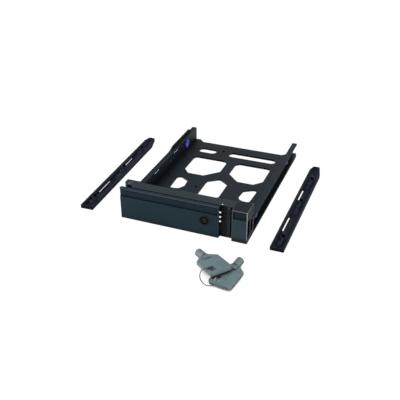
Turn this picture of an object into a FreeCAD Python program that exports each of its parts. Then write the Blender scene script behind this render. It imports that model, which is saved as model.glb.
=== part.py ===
"""Plastic drive tray for 3.5 inch disks: tray, keyed front handle, fastening strips and keys.

Frame: +X right, +Y towards the rear of the tray, +Z up, millimetres.
The origin is on the underside of the tray, on its centreline, in the plane where the bezel meets the rails.
"""
import FreeCAD, Part
import math
import os
import re
import Sketcher

# ------------------------------------------------------------------ driving dimensions
SIZES = {
    # the disk that the tray carries
    "drive_width": 101.6,
    "drive_gap": 0.5,
    "drive_overhang": 2.0,
    "drive_lift": 0.3,
    "drive_hole_rise": 6.35,
    "drive_rear_inset": 28.5,
    "drive_middle_pitch": 41.6,
    "drive_front_pitch": 101.6,
    "base_hole_pitch_across": 95.25,
    "base_hole_pitch_along": 44.45,
    "base_hole_inset": 41.28,
    "small_hole_pitch_across": 61.72,
    "small_hole_pitch_along": 76.6,
    "small_hole_inset": 18.3,
    "small_hole_wall_gap": 4.5,
    "screw_hole_radius": 1.7,
    # tray
    "tray_length": 146.0,
    "plate_wall": 2.2,
    "web_wall": 1.2,
    "flange_wall": 1.4,
    "rail_height": 15.2,
    "channel_depth": 3.5,
    "lip_length": 12.0,
    "lip_side_gap": 2.2,
    "stop_length": 16.0,
    "stop_rise": 2.1,
    "ear_length": 5.0,
    "ear_width": 4.2,
    "ear_slope": 5.0,
    "cutout_shift": 0.8,
    "side_strip": 11.8,
    "cutout_round": 2.8,
    "slot_back_inset": 16.8,
    "slot_front_inset": 26.6,
    "rear_cut_back_inset": 36.4,
    "rear_cut_length": 36.2,
    "rear_cut_shoulder": 12.6,
    "centre_bar": 8.6,
    "hex_half_width": 10.3,
    "hex_length": 40.8,
    "hex_shoulder": 7.6,
    "side_cut_width": 13.4,
    "side_cut_length": 25.2,
    "side_cut_back_inset": 79.0,
    "web_window_length": 12.0,
    "web_window_drop": 0.2,
    "web_window_height": 1.8,
    "web_window_front": 41.0,
    "web_window_pitch": 45.5,
    "guide_rib_wall": 1.4,
    "guide_rib_rise": 2.4,
    "guide_rib_front": 84.0,
    "guide_rib_inset": 8.0,
    "guide_rib_slope": 8.0,
    # bezel
    "bezel_height": 29.8,
    "bezel_depth": 18.0,
    "bezel_wall": 2.0,
    "face_gap": 0.8,
    "block_width": 13.0,
    "upper_set_back": 2.4,
    "top_relief": 1.8,
    "top_relief_inset": 12.0,
    "skirt_height": 4.6,
    "skirt_set_back": 0.8,
    "edge_round": 0.6,
    "band_low": 21.6,
    "band_lip": 0.9,
    "band_depth": 1.2,
    "side_pocket_low": 5.4,
    "side_pocket_high": 21.4,
    "side_rib_wall": 0.9,
    "wall_rib_inset": 24.0,
    "wall_rib_gap": 10.0,
    "boss_radius": 2.8,
    "boss_height": 9.0,
    "boss_inset": 4.6,
    "boss_outer_inset": 18.0,
    "boss_inner_x": 8.0,
    # hinge
    "hinge_side_inset": 4.5,
    "hinge_front_inset": 11.5,
    "ear_radius": 4.2,
    "barrel_radius": 4.0,
    "ear_thickness": 4.4,
    "hinge_gap": 0.3,
    "pin_radius": 1.25,
    "pin_clearance": 0.05,
    "pin_head_radius": 2.2,
    "pin_head_height": 0.8,
    "spring_gap_low": 12.0,
    "spring_gap_height": 4.6,
    # handle
    "handle_wall": 3.6,
    "handle_gap": 0.4,
    "handle_right_inset": 24.1,
    "handle_pocket_depth": 1.5,
    "arm_half_width": 3.6,
    "hook_wall": 1.4,
    "hook_edge_inset": 1.5,
    "hook_low": 6.0,
    "hook_high": 11.0,
    "hook_barb": 1.0,
    "hook_barb_length": 1.3,
    # lock
    "lock_right_inset": 36.1,
    "lock_rise": 15.1,
    "lock_rim_radius": 4.8,
    "lock_rim_height": 0.5,
    "lock_barrel_radius": 4.4,
    "lock_fit": 0.05,
    "core_radius": 3.75,
    "keyway_outer_radius": 3.3,
    "keyway_inner_radius": 2.35,
    "keyway_depth": 4.2,
    "lock_boss_radius": 6.3,
    "lock_boss_height": 1.2,
    "lock_nut_flats": 11.0,
    "lock_nut_thickness": 1.6,
    "cam_thickness": 1.2,
    "cam_reach": 10.4,
    "cam_half_width": 2.5,
    "cam_hub_radius": 3.4,
    "cam_gap": 0.3,
    "cam_shank_radius": 1.9,
    "lock_window_radius": 7.5,
    # latch, light guide
    "latch_bar_inset": 17.1,
    "latch_bar_width": 2.0,
    "latch_bar_depth": 1.5,
    "latch_bar_low": 2.4,
    "latch_travel": 1.5,
    "latch_gap": 0.3,
    "latch_plate_wall": 1.7,
    "latch_low": 5.4,
    "latch_high": 19.6,
    "latch_neck_low": 12.2,
    "latch_neck_high": 17.8,
    "latch_spring_radius": 1.8,
    "latch_spring_wire": 0.35,
    "latch_spring_rise": 15.0,
    "latch_peg_radius": 0.7,
    "latch_peg_length": 1.4,
    "handle_spring_wire": 0.4,
    "guide_inset": 22.9,
    "guide_bar_width": 2.2,
    "guide_skin": 0.8,
    "guide_fit": 0.1,
    "guide_low": 15.4,
    "guide_tip_radius": 0.6,
    "lens_radius": 0.9,
    "lens_set_back": 0.2,
    "lens_first_rise": 16.8,
    "lens_pitch": 4.2,
    # grommets
    "grommet_neck_radius": 4.0,
    "grommet_flange_radius": 4.8,
    "grommet_inner_radius": 5.6,
    "grommet_bore_radius": 1.6,
    "grommet_inner_flange": 0.35,
    "grommet_outer_flange": 0.7,
    "grommet_fit": 0.05,
    # fastening strips
    "panel_gap": 0.1,
    "panel_end_gap": 0.5,
    "panel_wall": 3.4,
    "panel_chamfer": 3.4,
    "panel_small_chamfer": 2.2,
    "panel_chamfer_length": 15.0,
    "stud_radius": 1.45,
    "stud_height": 3.2,
    "stud_fit": 0.02,
    "stud_floor": 0.8,
    "stud_seat_radius": 2.6,
    "strip_rim": 1.2,
    "strip_wide_rim": 2.0,
    "strip_sink": 1.3,
    "strip_boss_shift": 0.3,
    "strip_boss_pitch": 8.5,
    "strip_boss_radius": 1.8,
    "slot_offset": -3.0,
    "slot_width": 1.4,
    "slot_foot": 4.6,
    "front_slot_gap": 11.1,
    "front_slot_length": 22.5,
    "rear_slot_gap": 4.1,
    "rear_slot_length": 19.0,
    "right_strip_gap": 19.2,
    "left_strip_gap": 29.0,
    "right_strip_lead": 17.9,
    "left_strip_lead": 16.3,
    # keys
    "key_barrel_radius": 3.2,
    "key_barrel_bore": 2.45,
    "key_barrel_length": 9.0,
    "key_bow_wall": 2.6,
    "key_bow_length": 26.0,
    "key_bow_half_width": 9.4,
    "key_hub_length": 5.0,
    "key_stem_radius": 1.2,
    "key_stem_length": 3.2,
    "key_clearance": 2.2,
    "key_bearing": 26.8,
    "ring_radius": 9.2,
    "ring_wire": 0.5,
    # fasteners
    "small_screw_radius": 1.2,
    "small_screw_length": 8.0,
    "small_screw_head": 2.3,
    "small_screw_head_height": 1.0,
    "small_screw_sink": 0.2,
}

# Derived dimensions, as expressions on the cells
BAY = "(drive_width / 2 + drive_gap)"
WEB = "(drive_width / 2 + drive_gap + web_wall)"
HALF = "(drive_width / 2 + drive_gap + web_wall + channel_depth)"
DRIVE_END = "(tray_length + drive_overhang)"
DRIVE_BASE = "(plate_wall + drive_lift)"
SIDE_HOLE_Z = "(plate_wall + drive_lift + drive_hole_rise)"
REAR_HOLE_Y = "(tray_length + drive_overhang - drive_rear_inset)"
MIDDLE_HOLE_Y = "(tray_length + drive_overhang - drive_rear_inset - drive_middle_pitch)"
FRONT_HOLE_Y = "(tray_length + drive_overhang - drive_rear_inset - drive_front_pitch)"
FACE = "(handle_wall + face_gap - bezel_depth)"
FACE_BACK = "(handle_wall + face_gap - bezel_depth + bezel_wall)"
BOSSES_X = ("(" + HALF + " - boss_outer_inset)", "boss_inner_x")
HINGE_X = "(hinge_side_inset - " + HALF + ")"
HINGE_Y = "(hinge_front_inset - bezel_depth)"
HANDLE_RIGHT = "(" + HALF + " - handle_right_inset)"
HANDLE_BACK = "(handle_wall - bezel_depth)"
LOCK_X = "(" + HALF + " - lock_right_inset)"
BLOCK_LEFT = "(" + HALF + " - block_width)"
CAM_FRONT = "(" + FACE_BACK + " + cam_gap)"
CAM_BACK = "(" + CAM_FRONT + " + cam_thickness)"
LATCH_PLATE_FRONT = "(" + FACE_BACK + " + latch_gap)"
LATCH_PLATE_BACK = "(" + LATCH_PLATE_FRONT + " + latch_plate_wall)"
LATCH_BAR_LEFT = "(" + HALF + " - latch_bar_inset)"
LATCH_RIGHT = "(" + BLOCK_LEFT + " + bezel_wall + 0.2)"
HOOK_RIGHT = "(" + HANDLE_RIGHT + " - hook_edge_inset)"
HOOK_TIP = "(" + HOOK_RIGHT + " + hook_barb)"
HOOK_BACK = "(" + LATCH_PLATE_BACK + " + latch_gap + hook_barb_length)"
GUIDE_X = "(" + HALF + " - guide_inset)"
GUIDE_Y = "(" + FACE + " / 2 + " + FACE_BACK + " / 2 + guide_skin / 2)"
PANEL_WIDTH = "(rail_height - flange_wall - plate_wall - 2 * panel_gap)"
PANEL_LENGTH = "(tray_length - 2 * panel_end_gap)"
STUD_EDGE = "(drive_lift + drive_hole_rise - panel_gap)"
HANDLE_REACH = "sqrt((" + HANDLE_RIGHT + " - " + HINGE_X + ") ^ 2 + hinge_front_inset ^ 2)"
KEYS_X = "(" + HINGE_X + " + (" + HANDLE_REACH + " + key_clearance) * cos(key_bearing))"
KEYS_Y = "(" + HINGE_Y + " - (" + HANDLE_REACH + " + key_clearance) * sin(key_bearing))"

WORD = re.compile(r"[a-z][a-z_]*[a-z]")
FUNCTIONS = ("sin", "cos", "tan", "sqrt")

doc = FreeCAD.newDocument("drive_tray")
sheet = doc.addObject("Spreadsheet::Sheet", "Sizes")
for row, (name, value) in enumerate(SIZES.items(), start=1):
    sheet.set("A%d" % row, name)
    sheet.set("B%d" % row, str(value))
    sheet.setAlias("B%d" % row, name)
doc.recompute()

nodes = []


# ------------------------------------------------------------------ helpers
def cells(text):
    """Turn the plain names in an expression into references to the sheet."""
    def refer(match):
        word = match.group(0)
        return word if word in FUNCTIONS else "Sizes." + word
    return WORD.sub(refer, text)


def new_body(label, x="0", y="0", z="0", yaw=0.0, pitch=0.0, roll=0.0):
    """A PartDesign body whose own frame is placed by expressions and turned by fixed angles."""
    body = doc.addObject("PartDesign::Body", label)
    body.Label = label
    body.Placement = FreeCAD.Placement(FreeCAD.Vector(), FreeCAD.Rotation(yaw, pitch, roll))
    for axis, text in (("x", x), ("y", y), ("z", z)):
        body.setExpression(".Placement.Base." + axis, cells(text))
    nodes.append(body)
    return body


def origin_plane(body, role):
    """One of the body's own origin planes."""
    return next(item for item in body.Origin.OriginFeatures if item.Role == role)


def new_sketch(body, name, role, offset):
    """An empty sketch on an origin plane, moved along the plane's normal by an expression."""
    sketch = body.newObject("Sketcher::SketchObject", name)
    sketch.AttachmentSupport = [(origin_plane(body, role), "")]
    sketch.MapMode = "FlatFace"
    sketch.setExpression("AttachmentOffset.Base.z", cells(offset))
    return sketch


def bind(sketch, kind, geometry, point, text, start):
    """Tie one coordinate of a point to an expression."""
    index = sketch.addConstraint(Sketcher.Constraint(kind, -1, 1, geometry, point, start))
    sketch.setExpression("Constraints[%d]" % index, cells(text))


def add_loop(sketch, points):
    """Add a closed outline of straight lines through points given as pairs of expressions."""
    count = len(points)
    first = sketch.GeometryCount
    ring = [FreeCAD.Vector(10 * math.cos(math.tau * i / count), 10 * math.sin(math.tau * i / count), 0)
            for i in range(count)]
    for i in range(count):
        sketch.addGeometry(Part.LineSegment(ring[i], ring[(i + 1) % count]), False)
    for i in range(count):
        sketch.addConstraint(Sketcher.Constraint("Coincident", first + i, 2, first + (i + 1) % count, 1))
    for i, (x, y) in enumerate(points):
        bind(sketch, "DistanceX", first + i, 1, x, ring[i].x)
        bind(sketch, "DistanceY", first + i, 1, y, ring[i].y)


def add_circle(sketch, x, y, radius):
    """Add a circle whose centre and radius are expressions."""
    first = sketch.GeometryCount
    sketch.addGeometry(Part.Circle(FreeCAD.Vector(5, 5, 0), FreeCAD.Vector(0, 0, 1), 2), False)
    bind(sketch, "DistanceX", first, 3, x, 5)
    bind(sketch, "DistanceY", first, 3, y, 5)
    index = sketch.addConstraint(Sketcher.Constraint("Radius", first, 2))
    sketch.setExpression("Constraints[%d]" % index, cells(radius))


def rectangle(left, right, low, high):
    """Corner points of a rectangle."""
    return [(left, low), (right, low), (right, high), (left, high)]


def mirrored(points):
    """The same outline on the other side of the second axis."""
    return [("-(%s)" % x, y) for x, y in reversed(points)]


def outline(body, name, role, loops, offset="0", circles=()):
    """A sketch of closed outlines and circles."""
    sketch = new_sketch(body, name + "_outline", role, offset)
    for points in loops:
        add_loop(sketch, points)
    for x, y, radius in circles:
        add_circle(sketch, x, y, radius)
    return sketch


def pad(body, name, sketch, length, reverse=False):
    """Add material along the sketch's normal, or against it."""
    feature = body.newObject("PartDesign::Pad", name)
    feature.Profile = sketch
    feature.Reversed = reverse
    feature.setExpression("Length", cells(length))
    doc.recompute()
    return feature


def pocket(body, name, sketch, length, reverse=False):
    """Cut against the sketch's normal, or along it, and make sure that something was cut."""
    before = body.Shape.Volume
    feature = body.newObject("PartDesign::Pocket", name)
    feature.Profile = sketch
    feature.Reversed = reverse
    feature.setExpression("Length", cells(length))
    doc.recompute()
    if before - body.Shape.Volume < 1e-3:
        raise ValueError(name + " cuts nothing")
    return feature


def turn(body, name, points):
    """A full revolution of a profile, given as (radius, height), about the body's Z axis."""
    sketch = outline(body, name, "XZ_Plane", [points])
    feature = body.newObject("PartDesign::Revolution", name)
    feature.Profile = sketch
    feature.ReferenceAxis = (sketch, ["V_Axis"])
    feature.Angle = 360
    doc.recompute()
    return feature


def dress_edges(body, name, kind, size, wanted):
    """Put a fillet (Radius) or a chamfer (Size) on the edges of the body that the test picks."""
    tip = body.Tip
    names = ["Edge%d" % (i + 1) for i, edge in enumerate(tip.Shape.Edges) if wanted(edge)]
    if not names:
        raise ValueError(name + " finds no edge")
    feature = body.newObject("PartDesign::Fillet" if kind == "Radius" else "PartDesign::Chamfer", name)
    feature.Base = (tip, names)
    feature.setExpression(kind, cells(size))
    doc.recompute()
    return feature


def round_edges(body, name, radius, wanted):
    """Fillet the edges of the body that the test picks."""
    return dress_edges(body, name, "Radius", radius, wanted)


def on_front(edge):
    """Whether an edge lies in the foremost plane of the bezel and the handle."""
    return all(abs(vertex.Y + SIZES["bezel_depth"]) < 1e-6 for vertex in edge.Vertexes)


def upright(edge):
    """Whether an edge is a straight one along Z."""
    if len(edge.Vertexes) != 2:
        return False
    a, b = (vertex.Point for vertex in edge.Vertexes)
    return abs(a.x - b.x) < 1e-6 and abs(a.y - b.y) < 1e-6 and edge.Curve.TypeId == "Part::GeomLine"


def coil(label, mean_radius, wire, turns, height, x, y, z, rotation):
    """A wire coil of short straight steps, five-sided in section, standing on its own Z axis."""
    steps = 8
    sides = 5
    bends = []
    for i in range(steps * turns + 1):
        angle = math.tau * i / steps
        rise = height * i / (steps * turns)
        bends.append(FreeCAD.Vector(mean_radius * math.cos(angle), mean_radius * math.sin(angle), rise))
    lean = FreeCAD.Rotation(FreeCAD.Vector(0, 0, 1), bends[1] - bends[0])
    corners = []
    for i in range(sides + 1):
        angle = math.tau * i / sides
        spoke = FreeCAD.Vector(wire * math.cos(angle), wire * math.sin(angle), 0)
        corners.append(bends[0] + lean.multVec(spoke))
    spring = doc.addObject("Part::Feature", label)
    spring.Shape = Part.makePolygon(bends).makePipeShell([Part.makePolygon(corners)], True, False, 1)
    spring.Placement = FreeCAD.Placement(FreeCAD.Vector(), rotation)
    for axis, text in (("x", x), ("y", y), ("z", z)):
        spring.setExpression(".Placement.Base." + axis, cells(text))
    nodes.append(spring)
    return spring


# ------------------------------------------------------------------ tray
def plate_cutouts():
    """Outlines of the large cut-outs of the plate, on both sides of its centreline."""
    outer = "(%s - side_strip)" % BAY
    back = "(tray_length - rear_cut_back_inset)"
    front = "(%s - rear_cut_length)" % back
    bar = "(centre_bar / 2)"
    rear = [
        (outer, "%s + 8" % front),
        (outer, "%s - 3" % back),
        ("%s - 2" % outer, back),
        ("%s + 4" % bar, back),
        (bar, "%s - 3" % back),
        (bar, "%s + rear_cut_shoulder" % front),
        ("%s + rear_cut_shoulder" % bar, front),
        ("%s - 7" % outer, front),
    ]
    side_back = "(tray_length - side_cut_back_inset)"
    side_front = "(%s - side_cut_length)" % side_back
    side = [
        ("%s - 1" % outer, side_front),
        (outer, "%s - 5" % side_back),
        ("%s - 2" % outer, side_back),
        ("%s - side_cut_width + 1" % outer, "%s - 6.5" % side_back),
        ("%s - side_cut_width" % outer, "%s + 7" % side_front),
        ("%s - side_cut_width + 3" % outer, "%s + 1.5" % side_front),
        ("%s - side_cut_width + 7" % outer, side_front),
    ]
    hex_back = "(%s + 0.3)" % front
    hex_front = "(%s - hex_length)" % hex_back
    centre = [
        ("-hex_half_width", "%s + hex_shoulder" % hex_front),
        ("0", hex_front),
        ("hex_half_width", "%s + hex_shoulder" % hex_front),
        ("hex_half_width", "%s - hex_shoulder" % hex_back),
        ("0", hex_back),
        ("-hex_half_width", "%s - hex_shoulder" % hex_back),
    ]
    shapes = [rear, mirrored(rear), side, mirrored(side), centre]
    return [[("cutout_shift + %s" % x, y) for x, y in shape] for shape in shapes]


def make_tray():
    """The tray: one moulding with a pierced plate, two C section rails and a front lip."""
    body = new_body("tray_frame")
    lip = "(%s - lip_side_gap)" % HALF
    ear = "(tray_length + ear_length - 4.5)"
    back = "(tray_length - 4.5)"
    half_plate = [
        (lip, "-lip_length"),
        (lip, "0"),
        (HALF, "0"),
        (HALF, "tray_length"),
        (BAY, "tray_length"),
        ("%s - ear_width" % BAY, ear),
        ("%s - ear_width - ear_slope" % BAY, back),
    ]
    plate = outline(body, "plate", "XY_Plane", [half_plate + mirrored(half_plate)])
    pad(body, "plate", plate, "plate_wall")
    cutouts = outline(body, "cutouts", "XY_Plane", plate_cutouts(), "plate_wall")
    pocket(body, "cutouts", cutouts, "plate_wall")
    inner = SIZES["drive_width"] / 2 - 5
    back_y = SIZES["tray_length"] - SIZES["rear_cut_back_inset"] + 2
    round_edges(body, "cutout_corners", "cutout_round",
                lambda e: upright(e) and abs(e.Vertexes[0].X) < inner and 5 < e.Vertexes[0].Y < back_y)
    slot_low = "(tray_length - slot_front_inset)"
    slot_high = "(tray_length - slot_back_inset)"
    slots = [
        rectangle("-(%s - side_strip)" % BAY, "-(%s - side_strip) + 18.4" % BAY, slot_low, slot_high),
        rectangle("-7.7", "%s - side_strip + 1" % BAY, slot_low, slot_high),
    ]
    pocket(body, "rear_slots", outline(body, "rear_slots", "XY_Plane", slots, "plate_wall"), "plate_wall")
    first_y = SIZES["tray_length"] - SIZES["slot_front_inset"] - 1
    last_y = SIZES["tray_length"] - SIZES["slot_back_inset"] + 1
    round_edges(body, "slot_corners", "(slot_front_inset - slot_back_inset) / 2 - 0.6",
                lambda e: upright(e) and abs(e.Vertexes[0].X) < inner and first_y < e.Vertexes[0].Y < last_y)
    # side rails: web, top flange, and the stop at the rear of the channel
    web = rectangle(BAY, WEB, "0", "tray_length")
    pad(body, "webs", outline(body, "webs", "XY_Plane", [web, mirrored(web)]), "rail_height")
    flange = rectangle(BAY, HALF, "0", "tray_length")
    pad(body, "flanges",
        outline(body, "flanges", "XY_Plane", [flange, mirrored(flange)], "rail_height - flange_wall"),
        "flange_wall")
    stop = [
        ("tray_length - stop_length - 4", "0.5"),
        ("tray_length", "0.5"),
        ("tray_length", "plate_wall + stop_rise"),
        ("tray_length - stop_length", "plate_wall + stop_rise"),
        ("tray_length - stop_length - 4", "plate_wall"),
    ]
    for side, start in (("right", WEB + " - 0.5"), ("left", "-" + HALF)):
        pad(body, side + "_stop", outline(body, side + "_stop", "YZ_Plane", [stop], start),
            "channel_depth + 0.5")
    # rib along the outer edge of the left flange, which keeps the tray from going in upside down
    rib_back = "(tray_length - guide_rib_inset)"
    rib = [
        ("guide_rib_front", "rail_height - 0.3"),
        (rib_back, "rail_height - 0.3"),
        ("%s - guide_rib_slope / 2" % rib_back, "rail_height + guide_rib_rise"),
        ("guide_rib_front + guide_rib_slope", "rail_height + guide_rib_rise"),
    ]
    pad(body, "guide_rib", outline(body, "guide_rib", "YZ_Plane", [rib], "-" + HALF), "guide_rib_wall")
    # holes in the webs: grommet seats, a plain hole between them, and two low windows under the flange
    holes = outline(body, "side_holes", "YZ_Plane", [], "-(%s) - 1" % HALF, circles=[
        (REAR_HOLE_Y, SIDE_HOLE_Z, "grommet_neck_radius + grommet_fit"),
        (FRONT_HOLE_Y, SIDE_HOLE_Z, "grommet_neck_radius + grommet_fit"),
        (MIDDLE_HOLE_Y, SIDE_HOLE_Z, "grommet_bore_radius"),
    ])
    pocket(body, "side_holes", holes, "2 * %s + 2" % HALF, reverse=True)
    window_top = "(rail_height - flange_wall - web_window_drop)"
    windows = [rectangle("web_window_front + %d * web_window_pitch" % i,
                         "web_window_front + %d * web_window_pitch + web_window_length" % i,
                         "%s - web_window_height" % window_top, window_top) for i in range(2)]
    pocket(body, "web_windows", outline(body, "web_windows", "YZ_Plane", windows, "-(%s) - 1" % HALF),
           "2 * %s + 2" % HALF, reverse=True)
    # screw holes in the plate and in the lip
    base_y = "(%s - base_hole_inset)" % DRIVE_END
    small_x = "(%s - small_hole_wall_gap)" % BAY
    small_y = "(tray_length - small_hole_inset)"
    circles = []
    for x in ("-base_hole_pitch_across / 2", "base_hole_pitch_across / 2"):
        for y in (base_y, base_y + " - base_hole_pitch_along"):
            circles.append((x, y, "screw_hole_radius"))
    for x in (small_x, small_x + " - small_hole_pitch_across"):
        for y in (small_y, small_y + " - small_hole_pitch_along"):
            circles.append((x, y, "screw_hole_radius"))
    for x in BOSSES_X:
        for sign in ("", "-"):
            circles.append((sign + x, "-boss_inset", "small_screw_radius + 0.1"))
    pocket(body, "screw_holes", outline(body, "screw_holes", "XY_Plane", [], "plate_wall", circles),
           "plate_wall")
    heads = [(sign + x, "-boss_inset", "small_screw_head + 0.1")
             for x in BOSSES_X for sign in ("", "-")]
    pocket(body, "head_seats", outline(body, "head_seats", "XY_Plane", [], "0", heads), "1.2", reverse=True)
    return body


# ------------------------------------------------------------------ bezel
def make_bezel():
    """The front housing: a box open at the back, with hinge ears, finger recess and latch block."""
    body = new_body("front_bezel")
    hinge_inner = "(%s + barrel_radius + hinge_gap + 0.3)" % HINGE_X
    plan = [
        ("%s - ear_radius" % HINGE_X, "0"),
        ("%s - ear_radius" % HINGE_X, "%s - ear_radius" % HINGE_Y),
        (hinge_inner, "%s - ear_radius" % HINGE_Y),
        (hinge_inner, FACE),
        (BLOCK_LEFT, FACE),
        (BLOCK_LEFT, "-bezel_depth"),
        (HALF, "-bezel_depth"),
        (HALF, "0"),
    ]
    pad(body, "housing", outline(body, "housing", "XY_Plane", [plan]), "bezel_height")
    round_edges(body, "block_edges", "edge_round", on_front)
    skirt = [
        ("-bezel_depth - 0.01", "-0.01"),
        ("skirt_set_back - bezel_depth", "-0.01"),
        ("-bezel_depth - 0.01", "skirt_height"),
    ]
    pocket(body, "block_skirt", outline(body, "block_skirt", "YZ_Plane", [skirt], "%s + 1" % HALF),
           "block_width + 1")
    # above the rails the back is set forward, and the top wall once more between its ends
    upper = rectangle("-upper_set_back", "1", "rail_height", "bezel_height + 1")
    pocket(body, "upper_back", outline(body, "upper_back", "YZ_Plane", [upper], "%s + 1" % HALF),
           "2 * %s + 2" % HALF)
    relief = rectangle("top_relief_inset - %s" % HALF, "%s - top_relief_inset" % HALF,
                       "-upper_set_back - top_relief", "1")
    pocket(body, "top_relief", outline(body, "top_relief", "XY_Plane", [relief], "bezel_height"),
           "bezel_wall")
    ear_x = -SIZES["drive_width"] / 2
    round_edges(body, "ear_round", "ear_radius - 0.01",
                lambda e: upright(e) and e.Vertexes[0].X < ear_x and e.Vertexes[0].Y < -5)
    # hollow from the back, in two depths
    hollow = rectangle("%s + bezel_wall" % hinge_inner, "%s - channel_depth - bezel_wall" % HALF,
                       "plate_wall + bezel_wall", "bezel_height - bezel_wall")
    pocket(body, "hollow", outline(body, "hollow", "XZ_Plane", [hollow]), "-(%s)" % FACE_BACK, reverse=True)
    deep = rectangle("%s + bezel_wall" % BLOCK_LEFT, "%s - channel_depth - bezel_wall" % HALF,
                     "plate_wall + bezel_wall", "bezel_height - bezel_wall")
    pocket(body, "block_hollow", outline(body, "block_hollow", "XZ_Plane", [deep]),
           "bezel_depth - bezel_wall", reverse=True)
    # seat of the tray's lip under the housing
    lip = rectangle("-(%s - lip_side_gap)" % HALF, "%s - lip_side_gap" % HALF, "-lip_length", "1")
    pocket(body, "lip_seat", outline(body, "lip_seat", "XY_Plane", [lip], "plate_wall"), "plate_wall")
    # hinge pocket between the ears, and the pin's bore with its head seat
    hinge = rectangle("-%s - 1" % HALF, hinge_inner, "%s - 1" % FACE, "-bezel_wall - 0.2")
    pocket(body, "hinge_pocket",
           outline(body, "hinge_pocket", "XY_Plane", [hinge], "bezel_height - ear_thickness"),
           "bezel_height - 2 * ear_thickness")
    bore = outline(body, "pin_bore", "XY_Plane", [], "bezel_height", [(HINGE_X, HINGE_Y, "pin_radius")])
    pocket(body, "pin_bore", bore, "bezel_height - plate_wall")
    seat = outline(body, "pin_seat", "XY_Plane", [], "bezel_height",
                   [(HINGE_X, HINGE_Y, "pin_head_radius + pin_clearance")])
    pocket(body, "pin_seat", seat, "pin_head_height")
    # sunk band across the block, and the pocket in the right side with its rib
    band = rectangle("%s + band_lip" % BLOCK_LEFT, "%s - band_lip" % HALF,
                     "band_low", "bezel_height - band_lip")
    pocket(body, "band", outline(body, "band", "XZ_Plane", [band], "bezel_depth"), "band_depth")
    side = [
        rectangle("1 - bezel_depth", "-bezel_depth / 2 - side_rib_wall",
                  "side_pocket_low", "side_pocket_high"),
        rectangle("-bezel_depth / 2", "-bezel_wall", "side_pocket_low", "side_pocket_high"),
    ]
    pocket(body, "side_pocket", outline(body, "side_pocket", "YZ_Plane", side, HALF), "channel_depth - 0.6")
    # openings in the front wall: lock window, hook slot and latch slot
    window = rectangle("%s - lock_window_radius" % LOCK_X, "%s + lock_window_radius" % LOCK_X,
                       "plate_wall + bezel_wall", "lock_rise + lock_window_radius")
    hook = rectangle("%s - hook_wall - 0.6" % HOOK_RIGHT, "%s + 0.6" % HOOK_TIP,
                     "hook_low - 0.8", "hook_high + 0.8")
    latch = rectangle("%s + 0.2" % LATCH_BAR_LEFT, "%s + latch_bar_width + latch_travel" % LATCH_BAR_LEFT,
                      "latch_neck_low - 0.4", "latch_neck_high + 0.4")
    pocket(body, "wall_openings",
           outline(body, "wall_openings", "XZ_Plane", [window, hook, latch], "-(%s)" % FACE),
           "bezel_wall + 0.02")
    # seat of the light guide in the back of the wall, with holes for its lenses and its upper tip
    seat = rectangle("%s - guide_bar_width / 2 - guide_fit" % GUIDE_X,
                     "%s + guide_bar_width / 2 + guide_fit" % GUIDE_X,
                     "guide_low - guide_fit", "bezel_height - bezel_wall")
    pocket(body, "guide_seat", outline(body, "guide_seat", "XZ_Plane", [seat], "-(%s)" % FACE_BACK),
           "bezel_wall - guide_skin", reverse=True)
    lens_holes = [(GUIDE_X, "lens_first_rise + %d * lens_pitch" % i, "lens_radius + guide_fit")
                  for i in range(3)]
    pocket(body, "lens_holes", outline(body, "lens_holes", "XZ_Plane", [], "-(%s)" % FACE, lens_holes),
           "guide_skin + 0.1")
    tip_hole = [(GUIDE_X, GUIDE_Y, "guide_tip_radius + guide_fit")]
    pocket(body, "tip_hole", outline(body, "tip_hole", "XY_Plane", [], "bezel_height", tip_hole),
           "bezel_wall + 0.1")
    # guide rails of the latch, screw bosses and stiffening ribs, all inside
    rail_left = "(%s + 1)" % HOOK_TIP
    rails = [
        rectangle("%s + guide_bar_width" % GUIDE_X, BLOCK_LEFT,
                  "latch_high + latch_gap", "latch_high + latch_gap + side_rib_wall"),
    ]
    pad(body, "latch_rail", outline(body, "latch_rail", "XZ_Plane", rails, "-(%s) + 0.2" % FACE_BACK),
        "%s - (%s) + latch_gap + 0.2" % (LATCH_PLATE_BACK, FACE_BACK), reverse=True)
    lips = [
        rectangle(rail_left, BLOCK_LEFT, "latch_high - 1.2", "latch_high + latch_gap + side_rib_wall"),
        rectangle(rail_left, BLOCK_LEFT, "plate_wall + bezel_wall - 0.2", "latch_low + 1.2"),
    ]
    lip_outline = outline(body, "latch_lips", "XZ_Plane", lips, "-(%s + latch_gap)" % LATCH_PLATE_BACK)
    pad(body, "latch_lips", lip_outline, "side_rib_wall", reverse=True)
    bosses = [(sign + x, "-boss_inset", "boss_radius")
              for x in BOSSES_X for sign in ("", "-")]
    pad(body, "screw_bosses", outline(body, "screw_bosses", "XY_Plane", [], "plate_wall", bosses),
        "boss_height")
    bores = [(sign + x, "-boss_inset", "small_screw_radius")
             for x in BOSSES_X for sign in ("", "-")]
    pocket(body, "screw_bores", outline(body, "screw_bores", "XY_Plane", [], "plate_wall", bores),
           "boss_height - 1", reverse=True)
    ribs = []
    for place in ("wall_rib_inset - %s" % HALF, "-boss_inner_x - wall_rib_gap"):
        ribs.append(rectangle(place, "%s + side_rib_wall" % place,
                              "%s - 0.2" % FACE_BACK, "-upper_set_back - top_relief"))
    pad(body, "wall_ribs", outline(body, "wall_ribs", "XY_Plane", ribs, "plate_wall + bezel_wall - 0.2"),
        "bezel_height - plate_wall - 2 * bezel_wall + 0.4")
    return body


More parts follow.
